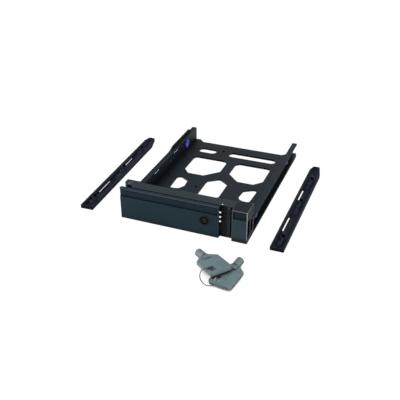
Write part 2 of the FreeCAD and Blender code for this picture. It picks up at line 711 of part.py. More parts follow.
# ------------------------------------------------------------------ handle and hinge
def make_handle():
    """The handle: front panel, hinge barrel on an arm, lock boss and latch hook, in one moulding."""
    body = new_body("handle_lever")
    low = "handle_gap"
    height = "bezel_height - 2 * handle_gap"
    panel = rectangle("-%s" % HALF, HANDLE_RIGHT, "-bezel_depth", HANDLE_BACK)
    pad(body, "panel", outline(body, "panel", "XY_Plane", [panel], low), height)
    round_edges(body, "panel_edges", "edge_round", on_front)
    band = rectangle("-%s - 1" % HALF, "%s - band_lip" % HANDLE_RIGHT, "band_low", "bezel_height - band_lip")
    pocket(body, "band", outline(body, "band", "XZ_Plane", [band], "bezel_depth"), "band_depth")
    # lightening pockets in the back of the panel
    pockets = []
    left = "(%s + 7)" % HINGE_X
    for i in range(3):
        start = "(%s + %d * 19)" % (left, i)
        for base, top in (("3", "14"), ("15.4", "bezel_height - 3.4")):
            pockets.append(rectangle(start, "%s + 17.6" % start, base, top))
    pocket(body, "back_pockets", outline(body, "back_pockets", "XZ_Plane", pockets, "-(%s)" % HANDLE_BACK),
           "handle_pocket_depth", reverse=True)
    # hinge arm and barrel, parted for the spring
    arm = rectangle("%s - arm_half_width" % HINGE_X, "%s + arm_half_width" % HINGE_X,
                    "%s - 0.2" % HANDLE_BACK, HINGE_Y)
    arm_low = "ear_thickness + hinge_gap"
    arm_height = "bezel_height - 2 * ear_thickness - 2 * hinge_gap"
    pad(body, "arm", outline(body, "arm", "XY_Plane", [arm], arm_low), arm_height)
    barrel = [(HINGE_X, HINGE_Y, "barrel_radius")]
    pad(body, "barrel", outline(body, "barrel", "XY_Plane", [], arm_low, barrel), arm_height)
    gap = rectangle("%s - 5" % HINGE_X, "%s + 5" % HINGE_X, "%s - 2.9" % HINGE_Y, "%s + 5" % HINGE_Y)
    spring_room = outline(body, "spring_gap", "XY_Plane", [gap], "spring_gap_low + spring_gap_height")
    pocket(body, "spring_gap", spring_room, "spring_gap_height")
    bore = [(HINGE_X, HINGE_Y, "pin_radius + pin_clearance")]
    pocket(body, "barrel_bore", outline(body, "barrel_bore", "XY_Plane", [], "bezel_height", bore),
           "bezel_height")
    # lock boss and bore
    boss = [(LOCK_X, "lock_rise", "lock_boss_radius")]
    pad(body, "lock_boss", outline(body, "lock_boss", "XZ_Plane", [], "-(%s) + 0.2" % HANDLE_BACK, boss),
        "lock_boss_height + 0.2", reverse=True)
    hole = [(LOCK_X, "lock_rise", "lock_barrel_radius + lock_fit")]
    pocket(body, "lock_hole", outline(body, "lock_hole", "XZ_Plane", [], "bezel_depth + 1", hole),
           "handle_wall + lock_boss_height + 2")
    # latch hook
    hook = [
        ("%s - hook_wall" % HOOK_RIGHT, "%s - 0.2" % HANDLE_BACK),
        (HOOK_RIGHT, "%s - 0.2" % HANDLE_BACK),
        (HOOK_RIGHT, "%s - hook_barb_length" % HOOK_BACK),
        (HOOK_TIP, "%s - hook_barb_length" % HOOK_BACK),
        ("%s - hook_wall / 2" % HOOK_RIGHT, HOOK_BACK),
        ("%s - hook_wall" % HOOK_RIGHT, HOOK_BACK),
    ]
    pad(body, "hook", outline(body, "hook", "XY_Plane", [hook], "hook_low"), "hook_high - hook_low")
    return body


def make_hinge_pin():
    """The hinge pin with its low head."""
    body = new_body("hinge_pin", HINGE_X, HINGE_Y, "plate_wall + 0.1")
    top = "(bezel_height - plate_wall - 0.1)"
    turn(body, "pin", [
        ("0", "0"),
        ("pin_radius - 0.01", "0"),
        ("pin_radius - 0.01", "%s - pin_head_height" % top),
        ("pin_head_radius", "%s - pin_head_height" % top),
        ("pin_head_radius", "%s - 0.3" % top),
        ("pin_head_radius - 0.6", "%s + 0.1" % top),
        ("0", "%s + 0.2" % top),
    ])
    return body


# ------------------------------------------------------------------ lock
def make_lock():
    """Lock housing, nut, core with tubular keyway, cam and its screw, all on the lock's axis."""
    axis = {"x": LOCK_X, "z": "lock_rise", "roll": -90.0}
    housing = new_body("lock_housing", y="-bezel_depth", **axis)
    housing_length = "(handle_wall + lock_boss_height + lock_nut_thickness + 0.2)"
    turn(housing, "housing", [
        ("core_radius + lock_fit", "-lock_rim_height"),
        ("lock_rim_radius - 0.2", "-lock_rim_height"),
        ("lock_rim_radius", "0.2 - lock_rim_height"),
        ("lock_rim_radius", "0"),
        ("lock_barrel_radius", "0"),
        ("lock_barrel_radius", housing_length),
        ("core_radius + lock_fit", housing_length),
    ])
    core = new_body("lock_core", y="-bezel_depth", **axis)
    shank_start = "(%s + bezel_depth - 0.05)" % CAM_FRONT
    shank_end = "(%s + bezel_depth)" % CAM_BACK
    turn(core, "plug", [
        ("0", "-0.1"),
        ("keyway_inner_radius", "-0.1"),
        ("keyway_inner_radius", "keyway_depth"),
        ("keyway_outer_radius", "keyway_depth"),
        ("keyway_outer_radius", "-0.1"),
        ("core_radius", "-0.1"),
        ("core_radius", shank_start),
        ("cam_shank_radius", shank_start),
        ("cam_shank_radius", shank_end),
        ("0.9", shank_end),
        ("0.9", "%s - 3.2" % shank_end),
        ("0", "%s - 3.2" % shank_end),
    ])
    nut = new_body("lock_nut", y="%s + lock_boss_height" % HANDLE_BACK, **axis)
    corner = "(lock_nut_flats / sqrt(3))"
    hexagon = [("%s * cos(%d)" % (corner, 60 * i), "%s * sin(%d)" % (corner, 60 * i)) for i in range(6)]
    face = outline(nut, "nut", "XY_Plane", [hexagon], "0", [("0", "0", "lock_barrel_radius + 0.02")])
    pad(nut, "nut", face, "lock_nut_thickness")
    cam = new_body("lock_cam", y=CAM_FRONT, **axis)
    hub = outline(cam, "hub", "XY_Plane", [], "0", [("0", "0", "cam_hub_radius")])
    pad(cam, "hub", hub, "cam_thickness")
    tail = rectangle("-cam_half_width", "cam_half_width", "0", "cam_reach")
    pad(cam, "tail", outline(cam, "tail", "XY_Plane", [tail]), "cam_thickness")
    reach = SIZES["cam_reach"] - 0.5
    round_edges(cam, "tail_corners", "1.2", lambda e: upright(e) and abs(e.Vertexes[0].Y) > reach)
    bore = outline(cam, "bore", "XY_Plane", [], "cam_thickness", [("0", "0", "cam_shank_radius + 0.02")])
    pocket(cam, "bore", bore, "cam_thickness")
    screw = new_body("cam_screw", y=CAM_BACK, **axis)
    turn(screw, "screw", [
        ("0", "-2.8"),
        ("0.87", "-2.8"),
        ("0.87", "0"),
        ("2.6", "0"),
        ("2.6", "0.8"),
        ("1.8", "1.4"),
        ("0", "1.4"),
    ])


# ------------------------------------------------------------------ latch and light guide
def make_latch():
    """The release latch: thumb bar, neck through the wall, and the sprung slide behind it."""
    body = new_body("release_latch")
    claw = "(%s + latch_gap)" % HOOK_TIP
    plate = rectangle(claw, LATCH_RIGHT, "latch_low", "latch_high")
    pad(body, "slide", outline(body, "slide", "XZ_Plane", [plate], "-(%s)" % LATCH_PLATE_FRONT),
        "latch_plate_wall", reverse=True)
    neck = rectangle("%s + 0.5" % LATCH_BAR_LEFT, "%s + latch_bar_width - 0.4" % LATCH_BAR_LEFT,
                     "latch_neck_low", "latch_neck_high")
    pad(body, "neck", outline(body, "neck", "XZ_Plane", [neck], "-(%s) - 0.2" % LATCH_PLATE_FRONT),
        "bezel_wall + 2 * latch_gap + 0.4")
    bar = rectangle(LATCH_BAR_LEFT, "%s + latch_bar_width" % LATCH_BAR_LEFT,
                    "latch_bar_low", "bezel_height - handle_gap")
    pad(body, "thumb_bar", outline(body, "thumb_bar", "XZ_Plane", [bar], "-(%s - latch_gap)" % FACE),
        "latch_bar_depth")
    peg_y = "(%s + latch_plate_wall / 2)" % LATCH_PLATE_FRONT
    peg = outline(body, "peg", "YZ_Plane", [], "%s - 0.2" % LATCH_RIGHT,
                  [(peg_y, "latch_spring_rise", "latch_peg_radius")])
    pad(body, "peg", peg, "latch_peg_length")
    return body


def make_latch_spring():
    """The coil between the latch's slide and the block's side wall."""
    seat = "(%s + latch_spring_wire + 0.05)" % LATCH_RIGHT
    wire = SIZES["latch_spring_wire"]
    room = SIZES["block_width"] - SIZES["channel_depth"] - 2 * SIZES["bezel_wall"] - 0.2
    peg_y = "(%s + latch_plate_wall / 2)" % LATCH_PLATE_FRONT
    return coil("latch_spring", SIZES["latch_spring_radius"], wire, 4, room - 2 * wire - 0.1,
                seat, peg_y, "latch_spring_rise", FreeCAD.Rotation(FreeCAD.Vector(0, 1, 0), 90))


def make_handle_spring():
    """The torsion coil round the hinge pin, in the gap of the barrel."""
    wire = SIZES["handle_spring_wire"]
    height = SIZES["spring_gap_height"] - 2 * wire - 0.4
    return coil("handle_spring", SIZES["pin_radius"] + 0.35 + wire, wire, 4, height, HINGE_X, HINGE_Y,
                "spring_gap_low + handle_spring_wire + 0.2", FreeCAD.Rotation())


def make_light_guide():
    """Clear comb seated in the back of the wall: a bar, three lenses in the recess and an upper tip."""
    body = new_body("light_guide")
    bar = rectangle("%s - guide_bar_width / 2" % GUIDE_X, "%s + guide_bar_width / 2" % GUIDE_X,
                    "guide_low", "bezel_height - bezel_wall - guide_fit")
    pad(body, "bar", outline(body, "bar", "XZ_Plane", [bar], "-(%s - guide_fit)" % FACE_BACK),
        "bezel_wall - guide_skin - 2 * guide_fit")
    lenses = [(GUIDE_X, "lens_first_rise + %d * lens_pitch" % i, "lens_radius") for i in range(3)]
    bar_front = "(%s + guide_skin + guide_fit)" % FACE
    pad(body, "lenses", outline(body, "lenses", "XZ_Plane", [], "-(%s + 0.1)" % bar_front, lenses),
        "%s + 0.1 + bezel_depth - lens_set_back" % bar_front)
    front = SIZES["lens_set_back"] - SIZES["bezel_depth"] + 0.1
    dress_edges(body, "lens_bevels", "Size", "lens_radius * 0.45",
                lambda e: e.Curve.TypeId == "Part::GeomCircle" and e.Vertexes[0].Y < front)
    tip = [(GUIDE_X, GUIDE_Y, "guide_tip_radius")]
    pad(body, "upper_tip",
        outline(body, "upper_tip", "XY_Plane", [], "bezel_height - bezel_wall - guide_fit - 0.1", tip),
        "bezel_wall + guide_fit")
    return body


# ------------------------------------------------------------------ grommets and screws
def make_grommets():
    """Damping bushes in the rails, one for each disk screw position that the strips use."""
    for side, x, lean in (("left", "-" + BAY, -90.0), ("right", BAY, 90.0)):
        for place, y in (("front", FRONT_HOLE_Y), ("rear", REAR_HOLE_Y)):
            bush = new_body("grommet_%s_%s" % (place, side), x, y, SIDE_HOLE_Z, pitch=lean)
            turn(bush, "bush", [
                ("grommet_bore_radius", "-grommet_inner_flange"),
                ("grommet_inner_radius - 0.2", "-grommet_inner_flange"),
                ("grommet_inner_radius", "0"),
                ("grommet_neck_radius", "0"),
                ("grommet_neck_radius", "web_wall"),
                ("grommet_flange_radius", "web_wall"),
                ("grommet_flange_radius - 0.4", "web_wall + grommet_outer_flange"),
                ("grommet_bore_radius", "web_wall + grommet_outer_flange"),
            ])


def make_bezel_screws():
    """Four screws through the tray's lip into the bezel's bosses, as one group."""
    body = doc.addObject("Part::Compound", "bezel_screws")
    body.Label = "bezel_screws"
    screws = []
    outer, inner = BOSSES_X
    for i, x in enumerate(("-" + outer, "-" + inner, inner, outer)):
        shaft = doc.addObject("Part::Cylinder", "screw_shaft_%d" % i)
        shaft.setExpression("Radius", cells("small_screw_radius - 0.02"))
        shaft.setExpression("Height", cells("small_screw_length"))
        head = doc.addObject("Part::Cylinder", "screw_head_%d" % i)
        head.setExpression("Radius", cells("small_screw_head"))
        head.setExpression("Height", cells("small_screw_head_height"))
        for piece, z in ((shaft, "small_screw_head_height"), (head, "small_screw_sink")):
            piece.setExpression(".Placement.Base.x", cells(x))
            piece.setExpression(".Placement.Base.y", cells("-boss_inset"))
            piece.setExpression(".Placement.Base.z", cells(z))
        screw = doc.addObject("Part::Fuse", "screw_%d" % i)
        screw.Base = shaft
        screw.Tool = head
        screws.append(screw)
    body.Links = screws
    nodes.append(body)
    return body


# ------------------------------------------------------------------ fastening strips
def make_strip(side, x, y, yaw, stud_x):
    """A fastening strip lying on its outer face, with its three studs standing up."""
    body = new_body("fastening_panel_" + side, x, y, "0", yaw=yaw)
    half = "(%s / 2)" % PANEL_WIDTH
    plan = [
        ("-" + half, "0"),
        (half, "0"),
        (half, "%s - panel_chamfer_length" % PANEL_LENGTH),
        ("%s - panel_chamfer" % half, PANEL_LENGTH),
        ("panel_small_chamfer - %s" % half, PANEL_LENGTH),
        ("-" + half, "%s - panel_chamfer_length / 2" % PANEL_LENGTH),
    ]
    pad(body, "strip", outline(body, "strip", "XY_Plane", [plan]), "panel_wall")
    rows = ["(%s - panel_end_gap)" % row for row in (FRONT_HOLE_Y, MIDDLE_HOLE_Y, REAR_HOLE_Y)]
    # a sunk field inside raised rims, with raised seats round the studs and a round boss before each
    field_end = "(%s - strip_rim - 1.5)" % PANEL_LENGTH
    field = [
        ("strip_rim - %s" % half, "strip_rim"),
        ("%s - strip_wide_rim" % half, "strip_rim"),
        ("%s - strip_wide_rim" % half, "%s - panel_chamfer_length - 1" % PANEL_LENGTH),
        ("%s - panel_chamfer - strip_rim" % half, field_end),
        ("panel_small_chamfer + strip_rim - %s" % half, field_end),
        ("strip_rim - %s" % half, "%s - panel_chamfer_length / 2 - 2" % PANEL_LENGTH),
    ]
    pocket(body, "field", outline(body, "field", "XY_Plane", [field], "panel_wall"), "strip_sink")
    seats = [(stud_x, row, "stud_seat_radius") for row in rows]
    bosses = [("strip_boss_shift", "%s - strip_boss_pitch" % row, "strip_boss_radius") for row in rows]
    raised = outline(body, "seats", "XY_Plane", [], "panel_wall - strip_sink - 0.2", seats + bosses)
    pad(body, "seats", raised, "strip_sink + 0.2")
    # slots that free the snap fingers; the front one has a foot across the strip
    left = "(slot_offset - slot_width / 2)"
    right = "(slot_offset + slot_width / 2)"
    front_start = "(%s + front_slot_gap)" % rows[0]
    front_end = "(%s + front_slot_length)" % front_start
    rear_start = "(%s + rear_slot_gap)" % rows[1]
    front_slot = [
        (left, front_start),
        (right, front_start),
        (right, "%s - slot_width / 2" % front_end),
        ("%s + slot_foot" % right, "%s - slot_width / 2" % front_end),
        ("%s + slot_foot" % right, front_end),
        (left, front_end),
    ]
    rear_slot = rectangle(left, right, rear_start, "%s + rear_slot_length" % rear_start)
    slots = outline(body, "slots", "XY_Plane", [front_slot, rear_slot], "panel_wall")
    pocket(body, "slots", slots, "panel_wall")
    holes = [(stud_x, row, "stud_radius + stud_fit") for row in rows]
    pocket(body, "stud_holes", outline(body, "stud_holes", "XY_Plane", [], "panel_wall", holes),
           "panel_wall - stud_floor")
    studs = doc.addObject("Part::Compound", "fastening_studs_" + side)
    studs.Label = "fastening_studs_" + side
    pieces = []
    for i, row in enumerate(rows):
        stud = doc.addObject("Part::Cylinder", "%s_stud_%d" % (side, i))
        stud.setExpression("Radius", cells("stud_radius"))
        stud.setExpression("Height", cells("panel_wall + stud_height - stud_floor"))
        stud.setExpression(".Placement.Base.x", cells(stud_x))
        stud.setExpression(".Placement.Base.y", cells(row))
        stud.setExpression(".Placement.Base.z", cells("stud_floor"))
        pieces.append(stud)
    studs.Links = pieces
    studs.Placement = FreeCAD.Placement(FreeCAD.Vector(), FreeCAD.Rotation(yaw, 0, 0))
    studs.setExpression(".Placement.Base.x", cells(x))
    studs.setExpression(".Placement.Base.y", cells(y))
    nodes.append(studs)


def make_strips():
    """Both fastening strips and their studs, lying beside the tray as taken off."""
    half = "(%s / 2)" % PANEL_WIDTH
    make_strip("right", "%s + right_strip_gap + %s" % (HALF, half), "-right_strip_lead", -0.3,
               "(%s - %s)" % (STUD_EDGE, half))
    make_strip("left", "-(%s + left_strip_gap + %s)" % (HALF, half), "-left_strip_lead", 1.5,
               "(%s - %s)" % (half, STUD_EDGE))


# ------------------------------------------------------------------ keys
def make_key(name, x, y, yaw, lift):
    """A tubular key: flat bow with a slot for the ring, and a round hollow barrel."""
    place = {"x": x, "y": y, "z": "key_barrel_radius + 0.02"}
    bow = new_body(name + "_bow", yaw=yaw, pitch=-lift, **place)
    start = "key_barrel_length"
    end = "(key_barrel_length + key_bow_length)"
    plan = [
        (start, "5 - key_bow_half_width"),
        ("%s + 4.5" % start, "-key_bow_half_width"),
        ("%s - 1.5" % end, "-key_bow_half_width"),
        (end, "1.5 - key_bow_half_width"),
        (end, "key_bow_half_width - 1.5"),
        ("%s - 1.5" % end, "key_bow_half_width"),
        ("%s + 4.5" % start, "key_bow_half_width"),
        (start, "key_bow_half_width - 5"),
    ]
    pad(bow, "bow", outline(bow, "bow", "XY_Plane", [plan], "-key_bow_wall / 2"), "key_bow_wall")
    hub = rectangle(start, "%s + key_hub_length" % start,
                    "0.2 - key_barrel_radius", "key_barrel_radius - 0.2")
    pad(bow, "hub", outline(bow, "hub", "XY_Plane", [hub], "-key_bow_wall / 2 - 0.9"), "key_bow_wall + 1.8")
    hole = rectangle("%s - 9.6" % end, "%s - 3.0" % end,
                     "1.9 - key_bow_half_width", "6.9 - key_bow_half_width")
    pocket(bow, "ring_slot", outline(bow, "ring_slot", "XY_Plane", [hole], "key_bow_wall / 2"),
           "key_bow_wall")
    stem = [("0", "0", "key_stem_radius")]
    socket = outline(bow, "socket", "YZ_Plane", [], "%s + key_stem_length" % start, stem)
    pocket(bow, "socket", socket, "key_stem_length + 1")
    barrel = new_body(name + "_barrel", yaw=yaw, pitch=90 - lift, **place)
    turn(barrel, "barrel", [
        ("key_barrel_bore", "0"),
        ("key_barrel_radius", "0"),
        ("key_barrel_radius", "%s - 0.02" % start),
        ("key_stem_radius - 0.02", "%s - 0.02" % start),
        ("key_stem_radius - 0.02", "%s + key_stem_length - 0.1" % start),
        ("0", "%s + key_stem_length - 0.1" % start),
        ("0", "%s - 3.5" % start),
        ("key_barrel_bore", "%s - 3.5" % start),
    ])


def make_keys():
    """Two keys clear of the handle's swing, one lying over the other, on a wire ring."""
    make_key("key_one", KEYS_X, KEYS_Y, -38.6, 7.0)
    make_key("key_two", KEYS_X + " + 33.65", KEYS_Y + " + 1.55", -98.0, 0.0)
    ring = new_body("key_ring", KEYS_X + " + 16.55", KEYS_Y + " - 29.75", "6.12", yaw=-33.5, pitch=37.3)
    turn(ring, "ring", [("ring_radius + ring_wire * cos(%d)" % (60 * i), "ring_wire * sin(%d)" % (60 * i))
                        for i in range(6)])


make_tray()
make_bezel()
make_handle()
make_hinge_pin()
make_lock()
make_latch()
make_latch_spring()
make_handle_spring()
make_light_guide()
make_grommets()
make_bezel_screws()
make_strips()
make_keys()

doc.recompute()
for item in doc.Objects:
    if "Invalid" in item.State or "Error" in item.State:
        raise ValueError("%s is in state %s" % (item.Name, item.State))
os.makedirs("parts", exist_ok=True)
for node in nodes:
    shape = node.Shape
    if shape.isNull() or not shape.isValid() or not shape.Solids:
        raise ValueError(node.Label + " has no valid shape")
    shape.exportStep(os.path.join("parts", node.Label + ".step"))
    box = shape.BoundBox
    print("%-24s %d solids %8.1f mm3  x %.1f..%.1f y %.1f..%.1f z %.1f..%.1f" % (
        node.Label, len(shape.Solids), shape.Volume,
        box.XMin, box.XMax, box.YMin, box.YMax, box.ZMin, box.ZMax))
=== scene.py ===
"""Looks of a plastic disk tray with a locking front handle, fastening strips and keys."""

import bpy
import bmesh
import logging
import math
from dataclasses import dataclass, field
from enum import Enum
from typing import Any, Sequence

from mathutils import Matrix, Vector


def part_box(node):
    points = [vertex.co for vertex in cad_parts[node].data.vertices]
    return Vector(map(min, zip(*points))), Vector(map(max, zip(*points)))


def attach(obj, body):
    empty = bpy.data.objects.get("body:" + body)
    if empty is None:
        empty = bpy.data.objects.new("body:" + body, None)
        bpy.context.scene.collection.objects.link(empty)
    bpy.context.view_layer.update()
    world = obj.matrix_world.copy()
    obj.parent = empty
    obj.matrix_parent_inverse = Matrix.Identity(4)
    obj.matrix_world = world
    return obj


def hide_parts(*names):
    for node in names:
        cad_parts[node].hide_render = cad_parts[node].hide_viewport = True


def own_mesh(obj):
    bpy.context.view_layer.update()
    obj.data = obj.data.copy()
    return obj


Colour = tuple[float, float, float]
Point = tuple[float, float, float]
LOG = logging.getLogger("disk_tray")

# Metres: past every piece, and the gap below which two points of a copied mesh are one.
WIDE = 1.0
WELD = 0.000002
SHARP_ANGLE = math.radians(35)


# ---------------------------------------------------------------- shader arithmetic
class Wire:
    """One output socket of a shader graph, usable in arithmetic."""

    def __init__(self, graph: "Nodes", socket: bpy.types.NodeSocket) -> None:
        """Keep the graph that the socket belongs to.

        Args:
            graph: graph that new nodes are added to.
            socket: output socket that carries the value.
        """
        self.graph = graph
        self.socket = socket

    def _math(self, operation: str, *values: Any) -> "Wire":
        """Add one Math node and return its output.

        Args:
            operation: name of the Math node's operation.
            values: links or numbers of its sockets, in order.

        Returns:
            The node's output.
        """
        return self.graph.node("ShaderNodeMath", {"operation": operation}, dict(enumerate(values)))

    def __add__(self, other: Any) -> "Wire":
        """Sum with a wire or a number."""
        return self._math("ADD", self, other)

    def __radd__(self, other: Any) -> "Wire":
        """Sum with the wire on the right."""
        return self._math("ADD", other, self)

    def __sub__(self, other: Any) -> "Wire":
        """Difference with a wire or a number."""
        return self._math("SUBTRACT", self, other)

    def __rsub__(self, other: Any) -> "Wire":
        """Difference with the wire on the right."""
        return self._math("SUBTRACT", other, self)

    def __mul__(self, other: Any) -> "Wire":
        """Product with a wire or a number."""
        return self._math("MULTIPLY", self, other)

    def __rmul__(self, other: Any) -> "Wire":
        """Product with the wire on the right."""
        return self._math("MULTIPLY", other, self)

    def __gt__(self, other: Any) -> "Wire":
        """1 where the value is above the other, and 0 elsewhere."""
        return self._math("GREATER_THAN", self, other)

    def __lt__(self, other: Any) -> "Wire":
        """1 where the value is below the other, and 0 elsewhere."""
        return self._math("LESS_THAN", self, other)

    def most(self, other: Any) -> "Wire":
        """The larger of two values."""
        return self._math("MAXIMUM", self, other)

    def least(self, other: Any) -> "Wire":
        """The smaller of two values."""
        return self._math("MINIMUM", self, other)

    def ramp(self, low: float, high: float) -> "Wire":
        """Smooth step from 0 at the low value to 1 at the high one."""
        settings = {"interpolation_type": "SMOOTHSTEP", "clamp": True}
        return self.graph.node("ShaderNodeMapRange", settings,
                               {"Value": self, "From Min": low, "From Max": high})


class Nodes:
    """A node tree of a material or a world."""

    def __init__(self, tree: bpy.types.NodeTree) -> None:
        """Start with an empty tree.

        Args:
            tree: the tree.
        """
        self.tree = tree
        self.tree.nodes.clear()

    def add(self, kind: str, settings: dict[str, Any], sockets: dict[Any, Any]) -> bpy.types.Node:
        """Add a node.

        Args:
            kind: the node's type.
            settings: the node's own settings, set before its sockets.
            sockets: values or wires, by the socket's name or number.

        Returns:
            The node.
        """
        item = self.tree.nodes.new(kind)
        for key, value in settings.items():
            setattr(item, key, value)
        for key, value in sockets.items():
            if isinstance(value, Wire):
                self.tree.links.new(value.socket, item.inputs[key])
            else:
                item.inputs[key].default_value = value
        return item

    def node(self, kind: str, settings: dict[str, Any], sockets: dict[Any, Any], out: Any = 0) -> Wire:
        """Add a node and choose one of its outputs.

        Args:
            kind: the node's type.
            settings: the node's own settings.
            sockets: values or wires, by the socket's name or number.
            out: name or number of the output that is returned.

        Returns:
            The chosen output.
        """
        return Wire(self, self.add(kind, settings, sockets).outputs[out])


class Graph(Nodes):
    """A material's node graph around one Principled BSDF."""

    edge_fade: tuple[float, float] = (0.02, 0.3)
    round_fade: tuple[float, float] = (0.02, 0.2)
    edge_samples: int = 6
    shade_samples: int = 8

    def __init__(self, name: str) -> None:
        """Start a material with its main shader.

        Args:
            name: name of the material.
        """
        self.material = bpy.data.materials.new(name)
        self.material.use_nodes = True
        super().__init__(self.material.node_tree)
        self.shader = self.add("ShaderNodeBsdfPrincipled", {}, {})
        self.output = self.add("ShaderNodeOutputMaterial", {}, {"Surface": self.plain()})

    def plain(self) -> Wire:
        """The main shader's output."""
        return Wire(self, self.shader.outputs[0])

    def show(self, surface: Wire) -> None:
        """Show another shader than the main one on the surface."""
        self.tree.links.new(surface.socket, self.output.inputs["Surface"])

    def place(self) -> Wire:
        """Position on the object, in its own coordinates."""
        return self.node("ShaderNodeTexCoord", {}, {}, "Object")

    def noise(self, scale: float, detail: float = 2.0, stretch: Point = (1.0, 1.0, 1.0)) -> Wire:
        """Noise over the object.

        Args:
            scale: cells per metre.
            detail: octaves.
            stretch: factor on each axis.

        Returns:
            Noise from 0 to 1.
        """
        where = self.node("ShaderNodeVectorMath", {"operation": "MULTIPLY"}, {0: self.place(), 1: stretch})
        return self.node("ShaderNodeTexNoise", {}, {"Vector": where, "Scale": scale, "Detail": detail})

    def mix(self, factor: Any, first: Any, second: Any) -> Wire:
        """Blend two colours.

        Args:
            factor: 0 for the first colour, 1 for the second.
            first: colour or wire.
            second: colour or wire.

        Returns:
            The blended colour.
        """
        first = (*first, 1.0) if isinstance(first, tuple) else first
        second = (*second, 1.0) if isinstance(second, tuple) else second
        return self.node("ShaderNodeMix", {"data_type": "RGBA"}, {0: factor, 6: first, 7: second}, 2)

    def along(self, axis: str) -> Wire:
        """Coordinate of the point along X, Y or Z, in metres."""
        return self.node("ShaderNodeSeparateXYZ", {}, {0: self.place()}, axis)

    def edges(self, radius: float) -> Wire:
        """1 on the sharp edges of the piece, and 0 on its flat faces.

        Args:
            radius: how far from an edge the value fades, in metres.

        Returns:
            The edge mask.
        """
        soft = self.node("ShaderNodeBevel", {"samples": self.edge_samples}, {"Radius": radius}, "Normal")
        hard = self.node("ShaderNodeNewGeometry", {}, {}, "Normal")
        match = self.node("ShaderNodeVectorMath", {"operation": "DOT_PRODUCT"}, {0: soft, 1: hard}, 1)
        return (1.0 - match).ramp(*self.edge_fade)

    def rounds(self) -> Wire:
        """1 on rounded and bevelled edges, whose faces lie along none of the piece's axes."""
        normal = self.node("ShaderNodeTexCoord", {}, {}, "Normal")
        size = self.node("ShaderNodeVectorMath", {"operation": "ABSOLUTE"}, {0: normal})
        parts = [self.node("ShaderNodeSeparateXYZ", {}, {0: size}, axis) for axis in "XYZ"]
        most = parts[0].most(parts[1]).most(parts[2])
        return (1.0 - most).ramp(*self.round_fade)

    def openness(self, reach: float) -> Wire:
        """1 on open faces, falling to 0 deep in slots and corners.

        Args:
            reach: how far neighbouring faces count, in metres.

        Returns:
            The openness.
        """
        settings = {"samples": self.shade_samples}
        return self.node("ShaderNodeAmbientOcclusion", settings, {"Distance": reach}, "AO")

    def distance(self, point: Point) -> Wire:
        """Distance from a fixed point, in metres."""
        return self.node("ShaderNodeVectorMath", {"operation": "DISTANCE"}, {0: self.place(), 1: point}, 1)

    def bump(self, height: Wire, depth: float) -> None:
        """Raise the surface's normal by a height field.

        Args:
            height: height from 0 to 1.
            depth: height of 1, in metres.
        """
        normal = self.node("ShaderNodeBump", {}, {"Height": height, "Distance": depth, "Strength": 1.0})
        self.tree.links.new(normal.socket, self.shader.inputs["Normal"])

    def feed(self, name: str, value: Any) -> None:
        """Set or link one input of the main shader.

        Args:
            name: the socket's name.
            value: number, colour or wire.
        """
        if isinstance(value, Wire):
            self.tree.links.new(value.socket, self.shader.inputs[name])
        elif isinstance(value, tuple):
            self.shader.inputs[name].default_value = (*value, 1.0)
        else:
            self.shader.inputs[name].default_value = value


# ---------------------------------------------------------------- finishes
@dataclass(frozen=True)
class Patch:
    """A box in which a moulding's colour is tinted, such as a face that lies in shade."""

    low: Point
    high: Point
    tint: Colour = (1.0, 1.0, 1.0)

    def mask(self, graph: Graph) -> Wire:
        """1 inside the box, and 0 elsewhere.

        Args:
            graph: the material's graph.

        Returns:
            The mask.
        """
        parts = [(graph.along(axis) > low) * (graph.along(axis) < high)
                 for axis, low, high in zip("XYZ", self.low, self.high)]
        return parts[0] * parts[1] * parts[2]

    def over(self, graph: Graph, base: Any) -> Wire:
        """The colour with the tint applied inside the box.

        Args:
            graph: the material's graph.
            base: colour or wire without the tint.

        Returns:
            The tinted colour.
        """
        base = (*base, 1.0) if isinstance(base, tuple) else base
        sockets = {0: self.mask(graph), 6: base, 7: (*self.tint, 1.0)}
        return graph.node("ShaderNodeMix", {"data_type": "RGBA", "blend_type": "MULTIPLY"}, sockets, 2)


